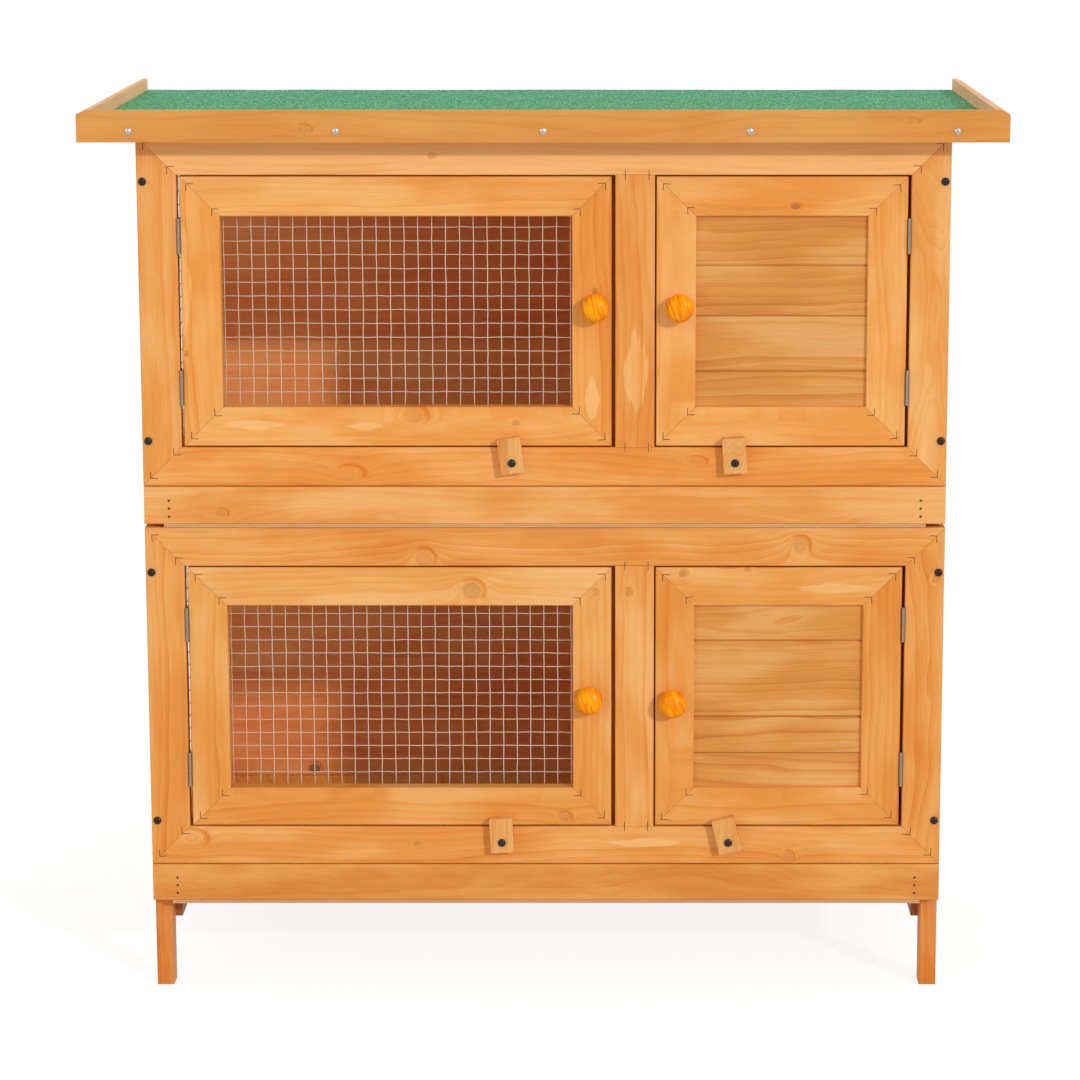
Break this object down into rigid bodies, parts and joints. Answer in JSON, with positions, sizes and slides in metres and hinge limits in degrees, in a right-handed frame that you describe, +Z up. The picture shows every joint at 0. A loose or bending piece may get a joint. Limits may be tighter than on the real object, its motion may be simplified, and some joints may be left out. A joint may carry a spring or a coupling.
{
  "type": "rabbit hutch",
  "caption": "Raised wooden rabbit hutch with stacked mesh-fronted runs and closed nest rooms, hinged doors, turn buttons, pull-out trays and a felted roof.",
  "frame": {"origin": "middle of the roof's footprint, on the floor under the four posts", "axes": "+Z up, doors and trays face -Y, +X to the right seen from the front"},
  "size_m": [0.8424, 0.4342, 0.8316],
  "materials": {
    "frame_pine": "planed pine with a warm honey-orange stain, satin",
    "door_pine": "planed pine with a warm honey-orange stain, satin",
    "panel_pine": "tongue-and-groove pine, honey-orange stain, satin",
    "wall_pine": "tongue-and-groove pine, honey-orange stain, matt",
    "strip_pine": "planed pine, matt",
    "button_wood": "stained pine, matt",
    "knob_wood": "turned wood, glossy yellow-orange lacquer",
    "plywood": "thin plywood, matt",
    "roof_felt": "green mineral-surfaced bitumen felt, rough",
    "wire_mesh": "galvanised welded wire",
    "hinge_steel": "zinc-plated",
    "bright_screw": "zinc-plated",
    "black_screw": "black phosphate, satin"
  },
  "bodies": {
    "carcass": {"front_posts": "frame_pine", "rear_posts": "frame_pine", "left_side_rails": "frame_pine", "left_side_mesh": "wire_mesh", "left_side_staples": "bright_screw", "right_side_boards": "wall_pine", "back_boards": "wall_pine", "upper_frame_rails": "frame_pine", "upper_frame_stiles": "frame_pine", "lower_frame_rails": "frame_pine", "lower_frame_stiles": "frame_pine", "frame_screws": "black_screw", "partitions": "wall_pine", "door_stop_battens": "wall_pine", "tray_runners": "wall_pine", "roof_boards": "wall_pine", "roof_felt": "roof_felt", "roof_fascia": "frame_pine", "roof_side_strips": "strip_pine", "roof_screws": "bright_screw", "frame_hinge_leaves": "hinge_steel", "hinge_pins": "hinge_steel", "frame_hinge_screws": "bright_screw", "button_screws": "black_screw"},
    "upper_mesh_door": {"upper_mesh_door_rails": "door_pine", "upper_mesh_door_stiles": "door_pine", "upper_mesh_door_mesh": "wire_mesh", "upper_mesh_door_knob": "knob_wood", "upper_mesh_door_hinge_leaves": "hinge_steel", "upper_mesh_door_fixings": "bright_screw"},
    "upper_solid_door": {"upper_solid_door_rails": "door_pine", "upper_solid_door_stiles": "door_pine", "upper_solid_door_boards": "panel_pine", "upper_solid_door_knob": "knob_wood", "upper_solid_door_hinge_leaves": "hinge_steel", "upper_solid_door_screws": "bright_screw"},
    "lower_mesh_door": {"lower_mesh_door_rails": "door_pine", "lower_mesh_door_stiles": "door_pine", "lower_mesh_door_mesh": "wire_mesh", "lower_mesh_door_knob": "knob_wood", "lower_mesh_door_hinge_leaves": "hinge_steel", "lower_mesh_door_fixings": "bright_screw"},
    "lower_solid_door": {"lower_solid_door_rails": "door_pine", "lower_solid_door_stiles": "door_pine", "lower_solid_door_boards": "panel_pine", "lower_solid_door_knob": "knob_wood", "lower_solid_door_hinge_leaves": "hinge_steel", "lower_solid_door_screws": "bright_screw"},
    "upper_mesh_door_button": {"upper_mesh_door_button": "button_wood"},
    "upper_solid_door_button": {"upper_solid_door_button": "button_wood"},
    "lower_mesh_door_button": {"lower_mesh_door_button": "button_wood"},
    "lower_solid_door_button": {"lower_solid_door_button": "button_wood"},
    "upper_tray": {"upper_tray_front": "frame_pine", "upper_tray_walls": "wall_pine", "upper_tray_bottom": "plywood", "upper_tray_nails": "bright_screw"},
    "lower_tray": {"lower_tray_front": "frame_pine", "lower_tray_walls": "wall_pine", "lower_tray_bottom": "plywood", "lower_tray_nails": "bright_screw"}
  },
  "joints": [
    {"name": "upper_mesh_door_hinge", "type": "hinge", "parent": "carcass", "child": "upper_mesh_door", "pos_m": [-0.3325, -0.1862, 0.5206], "axis": [0, 0, -1], "range_deg": [0, 175]},
    {"name": "upper_solid_door_hinge", "type": "hinge", "parent": "carcass", "child": "upper_solid_door", "pos_m": [0.3325, -0.1862, 0.5206], "axis": [0, 0, 1], "range_deg": [0, 175]},
    {"name": "lower_mesh_door_hinge", "type": "hinge", "parent": "carcass", "child": "lower_mesh_door", "pos_m": [-0.3325, -0.1862, 0.1598], "axis": [0, 0, -1], "range_deg": [0, 175]},
    {"name": "lower_solid_door_hinge", "type": "hinge", "parent": "carcass", "child": "lower_solid_door", "pos_m": [0.3325, -0.1862, 0.1598], "axis": [0, 0, 1], "range_deg": [0, 175]},
    {"name": "upper_mesh_door_button_pivot", "type": "hinge", "parent": "carcass", "child": "upper_mesh_door_button", "pos_m": [-0.03, -0.185, 0.5076], "axis": [0, -1, 0], "continuous": true},
    {"name": "upper_solid_door_button_pivot", "type": "hinge", "parent": "carcass", "child": "upper_solid_door_button", "pos_m": [0.175, -0.185, 0.5076], "axis": [0, -1, 0], "continuous": true},
    {"name": "lower_mesh_door_button_pivot", "type": "hinge", "parent": "carcass", "child": "lower_mesh_door_button", "pos_m": [-0.041, -0.185, 0.1468], "axis": [0, -1, 0], "continuous": true},
    {"name": "lower_solid_door_button_pivot", "type": "hinge", "parent": "carcass", "child": "lower_solid_door_button", "pos_m": [0.171, -0.185, 0.1468], "axis": [0, -1, 0], "continuous": true},
    {"name": "upper_tray_slide", "type": "slide", "parent": "carcass", "child": "upper_tray", "axis": [0, -1, 0], "range_m": [0, 0.33]},
    {"name": "lower_tray_slide", "type": "slide", "parent": "carcass", "child": "lower_tray", "axis": [0, -1, 0], "range_m": [0, 0.33]}
  ]
}
